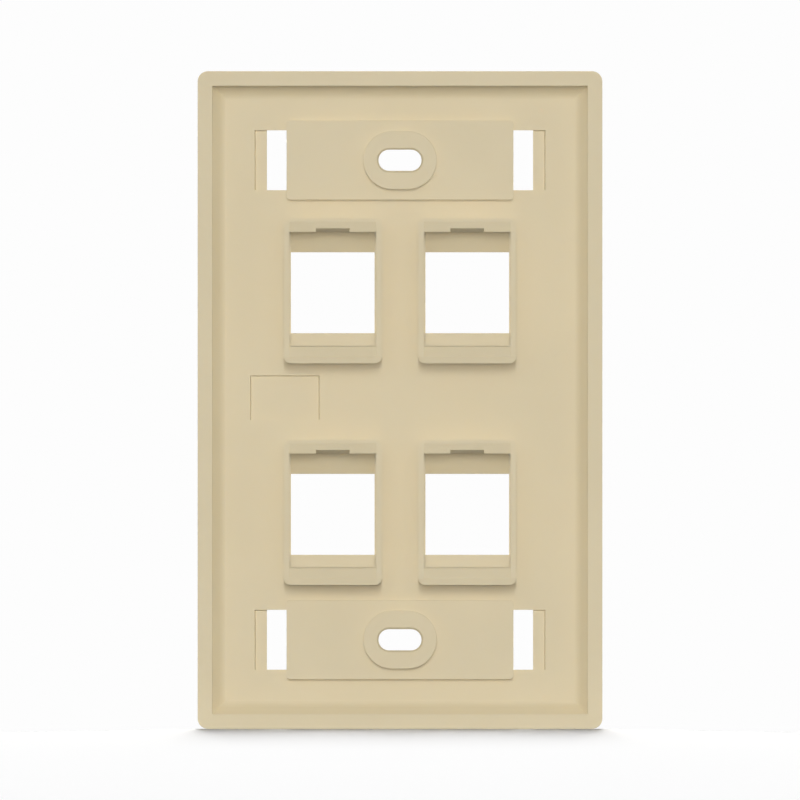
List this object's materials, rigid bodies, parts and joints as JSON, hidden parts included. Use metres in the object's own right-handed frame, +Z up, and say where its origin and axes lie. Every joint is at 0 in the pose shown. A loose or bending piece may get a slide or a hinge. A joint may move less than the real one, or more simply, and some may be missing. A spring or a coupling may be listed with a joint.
{
  "type": "keystone faceplate",
  "caption": "Single-gang moulded wall plate with snap-in keystone jack wells, label recesses with clip slots and slotted, countersunk screw holes.",
  "frame": {"origin": "middle of the plane that seats on the wall, halfway between the two screw slots", "axes": "+Z up the plate along its long side, +Y into the wall, -Y towards the room, +X to the right as seen from the room"},
  "size_m": [0.0704, 0.0098, 0.1142],
  "materials": {
    "ivory_plastic": "injection moulded ivory thermoplastic, fine matt texture"
  },
  "bodies": {
    "root": {"faceplate": "ivory_plastic"}
  },
  "joints": []
}
